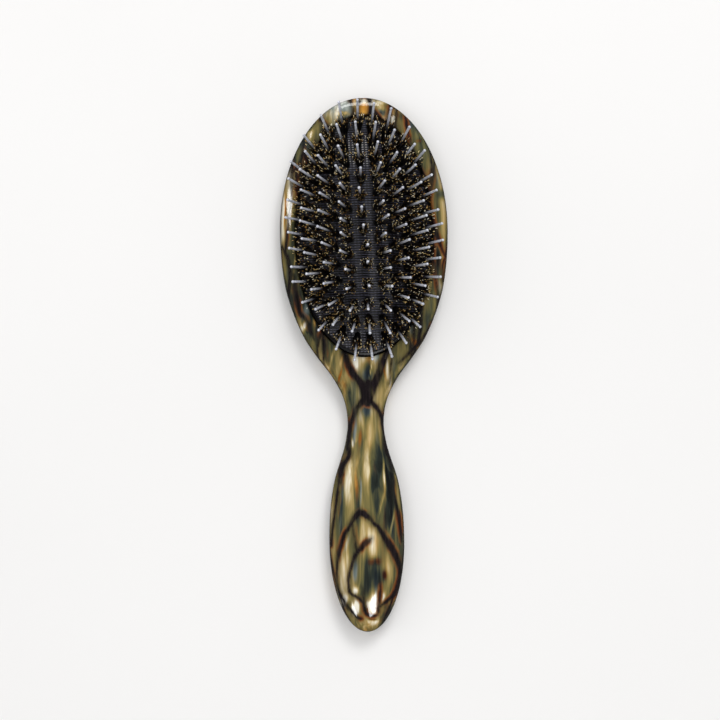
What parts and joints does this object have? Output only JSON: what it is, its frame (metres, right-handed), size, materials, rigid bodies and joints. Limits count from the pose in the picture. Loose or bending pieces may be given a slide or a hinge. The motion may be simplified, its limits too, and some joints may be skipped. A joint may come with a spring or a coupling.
{
  "type": "oval cushion hairbrush",
  "caption": "Oval-headed vanity hairbrush with a waisted handle, a domed rubber cushion and mixed nylon pins and bristle tufts that give and tilt.",
  "frame": {"origin": "under the middle of the brush, on the plane its back rests on", "axes": "+Z away from the back, the way the bristles point; +Y from the end of the handle to the tip of the head; +X to the right when the bristles face the viewer with the head up"},
  "size_m": [0.0694, 0.22, 0.0415],
  "materials": {
    "acetate": "polished horn-look acetate, olive and gold streaks with near-black veins",
    "cushion_rubber": "fine ribbed texture, satin sheen",
    "retainer_plastic": "moulded, matte",
    "nylon": "clear translucent, smooth",
    "bristle": "natural boar hair, dark with golden tips",
    "plug_plastic": "moulded, matte"
  },
  "bodies": {
    "body": {"handle_body": "acetate", "pad_retainer": "retainer_plastic"},
    "cushion": {"cushion_pad": "cushion_rubber"},
    "tufts_row_1": {"pins_row_1": "nylon", "bristles_row_1": "bristle", "plugs_row_1": "plug_plastic"},
    "tufts_row_2": {"pins_row_2": "nylon", "bristles_row_2": "bristle", "plugs_row_2": "plug_plastic"},
    "tufts_row_3": {"pins_row_3": "nylon", "bristles_row_3": "bristle", "plugs_row_3": "plug_plastic"},
    "tufts_row_4": {"pins_row_4": "nylon", "bristles_row_4": "bristle", "plugs_row_4": "plug_plastic"},
    "tufts_row_5": {"pins_row_5": "nylon", "bristles_row_5": "bristle", "plugs_row_5": "plug_plastic"},
    "tufts_row_6": {"pins_row_6": "nylon", "bristles_row_6": "bristle", "plugs_row_6": "plug_plastic"},
    "tufts_row_7": {"pins_row_7": "nylon", "bristles_row_7": "bristle", "plugs_row_7": "plug_plastic"},
    "tufts_row_8": {"pins_row_8": "nylon", "bristles_row_8": "bristle", "plugs_row_8": "plug_plastic"},
    "tufts_row_9": {"pins_row_9": "nylon", "bristles_row_9": "bristle", "plugs_row_9": "plug_plastic"}
  },
  "joints": [
    {"name": "cushion_press", "type": "slide", "parent": "body", "child": "cushion", "axis": [0, 0, -1], "range_m": [0, 0.003], "stiffness_N_per_m": 8000, "deforming": ["cushion_pad"]},
    {"name": "row_1_tilt", "type": "hinge", "parent": "cushion", "child": "tufts_row_1", "pos_m": [-0.02078, 0.051, 0.0149], "axis": [-0.0523, 0.9986, 0], "range_deg": [-8, 8], "stiffness_Nm_per_rad": 0.4},
    {"name": "row_2_tilt", "type": "hinge", "parent": "cushion", "child": "tufts_row_2", "pos_m": [-0.01576, 0.05126, 0.01673], "axis": [-0.0523, 0.9986, 0], "range_deg": [-8, 8], "stiffness_Nm_per_rad": 0.4},
    {"name": "row_3_tilt", "type": "hinge", "parent": "cushion", "child": "tufts_row_3", "pos_m": [-0.0106, 0.05153, 0.01803], "axis": [-0.0523, 0.9986, 0], "range_deg": [-8, 8], "stiffness_Nm_per_rad": 0.4},
    {"name": "row_4_tilt", "type": "hinge", "parent": "cushion", "child": "tufts_row_4", "pos_m": [-0.00535, 0.0518, 0.01883], "axis": [-0.0523, 0.9986, 0], "range_deg": [-8, 8], "stiffness_Nm_per_rad": 0.4},
    {"name": "row_5_tilt", "type": "hinge", "parent": "cushion", "child": "tufts_row_5", "pos_m": [0, 0.05208, 0.01906], "axis": [-0.0523, 0.9986, 0], "range_deg": [-8, 8], "stiffness_Nm_per_rad": 0.4},
    {"name": "row_6_tilt", "type": "hinge", "parent": "cushion", "child": "tufts_row_6", "pos_m": [0.00535, 0.05237, 0.01883], "axis": [-0.0523, 0.9986, 0], "range_deg": [-8, 8], "stiffness_Nm_per_rad": 0.4},
    {"name": "row_7_tilt", "type": "hinge", "parent": "cushion", "child": "tufts_row_7", "pos_m": [0.0106, 0.05264, 0.01803], "axis": [-0.0523, 0.9986, 0], "range_deg": [-8, 8], "stiffness_Nm_per_rad": 0.4},
    {"name": "row_8_tilt", "type": "hinge", "parent": "cushion", "child": "tufts_row_8", "pos_m": [0.01576, 0.05291, 0.01673], "axis": [-0.0523, 0.9986, 0], "range_deg": [-8, 8], "stiffness_Nm_per_rad": 0.4},
    {"name": "row_9_tilt", "type": "hinge", "parent": "cushion", "child": "tufts_row_9", "pos_m": [0.02078, 0.05317, 0.0149], "axis": [-0.0523, 0.9986, 0], "range_deg": [-8, 8], "stiffness_Nm_per_rad": 0.4}
  ]
}
